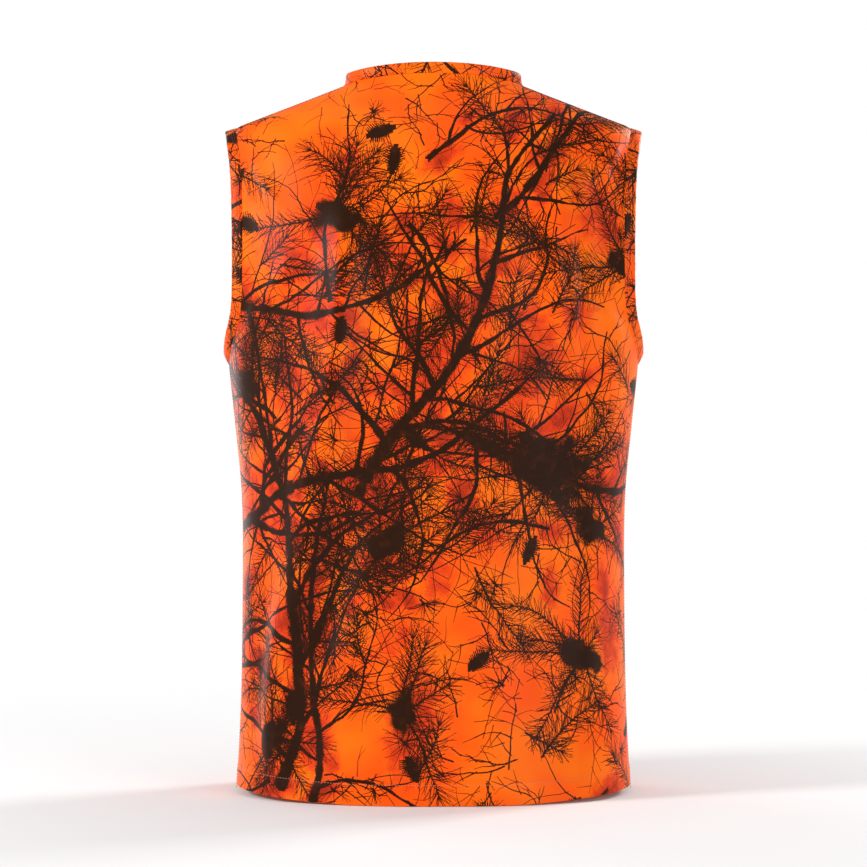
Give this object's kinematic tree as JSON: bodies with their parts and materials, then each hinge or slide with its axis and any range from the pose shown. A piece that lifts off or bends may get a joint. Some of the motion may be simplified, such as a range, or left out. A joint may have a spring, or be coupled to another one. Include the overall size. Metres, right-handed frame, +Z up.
{
  "type": "sleeveless vest",
  "caption": "Sleeveless printed-cloth vest, standing as worn, with bound neck and armholes, a full-length front zip that opens, and flapped patch pockets.",
  "frame": {"origin": "middle of the footprint on the plane of the hem", "axes": "+Z up towards the neck, +X towards the wearer's left, the wearer faces -Y; all joints at rest with the front zipped up"},
  "size_m": [0.4166, 0.2504, 0.7143],
  "materials": {
    "printed_cloth": "matte brushed knit, orange with a dark brown leaf and twig print",
    "plain_cloth": "matte unprinted reverse of the same knit",
    "stay_tape": "matte woven tape and elastic",
    "zip_tape": "matte woven tape",
    "moulded_plastic": "satin moulded resin",
    "black_metal": "semi-gloss dark enamel",
    "label_cloth": "smooth satin label tape, blank"
  },
  "bodies": {
    "back": {"back_panel": "printed_cloth", "neck_binding": "printed_cloth", "hem_fold_back": "plain_cloth", "neck_tape": "plain_cloth", "size_label": "label_cloth", "front_side_left": "printed_cloth", "front_side_right": "printed_cloth", "armhole_binding_left": "printed_cloth", "armhole_binding_right": "printed_cloth", "armhole_elastic_left": "stay_tape", "armhole_elastic_right": "stay_tape", "hem_fold_side_left": "plain_cloth", "hem_fold_side_right": "plain_cloth", "side_seam_allowance_left": "plain_cloth", "side_seam_allowance_right": "plain_cloth", "shoulder_tape_left": "stay_tape", "shoulder_tape_right": "stay_tape"},
    "front_left": {"front_panel_left": "printed_cloth", "neck_binding_front_left": "printed_cloth", "hem_fold_front_left": "plain_cloth", "zip_tape_left": "zip_tape", "zip_teeth_left": "moulded_plastic", "zip_top_stop_left": "moulded_plastic", "zip_pin": "moulded_plastic", "zip_guard": "plain_cloth", "pocket_left": "printed_cloth", "snap_stud_left": "black_metal"},
    "front_right": {"front_panel_right": "printed_cloth", "neck_binding_front_right": "printed_cloth", "hem_fold_front_right": "plain_cloth", "zip_tape_right": "zip_tape", "zip_teeth_right": "moulded_plastic", "zip_top_stop_right": "moulded_plastic", "zip_retainer_box": "moulded_plastic", "pocket_right": "printed_cloth", "snap_stud_right": "black_metal"},
    "flap_left": {"pocket_flap_left": "printed_cloth", "snap_socket_left": "black_metal", "snap_cap_left": "black_metal"},
    "flap_right": {"pocket_flap_right": "printed_cloth", "snap_socket_right": "black_metal", "snap_cap_right": "black_metal"},
    "zip_slider": {"zip_slider": "black_metal"},
    "zip_puller": {"zip_puller": "black_metal"},
    "hanger_loop": {"hanger_loop": "plain_cloth"},
    "care_label": {"care_label": "label_cloth"}
  },
  "joints": [
    {"name": "front_left_swing", "type": "hinge", "parent": "back", "child": "front_left", "pos_m": [0.1515, -0.094, 0.3], "axis": [0, 0, 1], "range_deg": [0, 60]},
    {"name": "front_right_swing", "type": "hinge", "parent": "back", "child": "front_right", "pos_m": [-0.1515, -0.094, 0.3], "axis": [0, 0, -1], "range_deg": [0, 60]},
    {"name": "zip_slide", "type": "slide", "parent": "front_left", "child": "zip_slider", "axis": [0, -0.03, -0.9996], "range_m": [0, 0.5554]},
    {"name": "puller_swivel", "type": "hinge", "parent": "zip_slider", "child": "zip_puller", "pos_m": [0, -0.10784, 0.57776], "axis": [-1, 0, 0], "range_deg": [0, 165]},
    {"name": "flap_left_lift", "type": "hinge", "parent": "front_left", "child": "flap_left", "pos_m": [0.0779, -0.1149, 0.1925], "axis": [-0.9806, -0.1959, 0], "range_deg": [0, 130]},
    {"name": "flap_right_lift", "type": "hinge", "parent": "front_right", "child": "flap_right", "pos_m": [-0.0779, -0.1149, 0.1925], "axis": [-0.9806, 0.1959, 0], "range_deg": [0, 130]},
    {"name": "loop_swing", "type": "hinge", "parent": "back", "child": "hanger_loop", "pos_m": [0, 0.0564, 0.6906], "axis": [-1, 0, 0], "range_deg": [0, 100]},
    {"name": "label_turn", "type": "hinge", "parent": "back", "child": "care_label", "pos_m": [0.1855, 0.0127, 0.1266], "axis": [0, 0, 1], "range_deg": [0, 130]}
  ],
  "couplings": [
    {"joint": "front_right_swing", "follows": "front_left_swing", "ratio": 1},
    {"joint": "zip_slide", "follows": "front_left_swing", "m_per_rad": 0.5303}
  ]
}
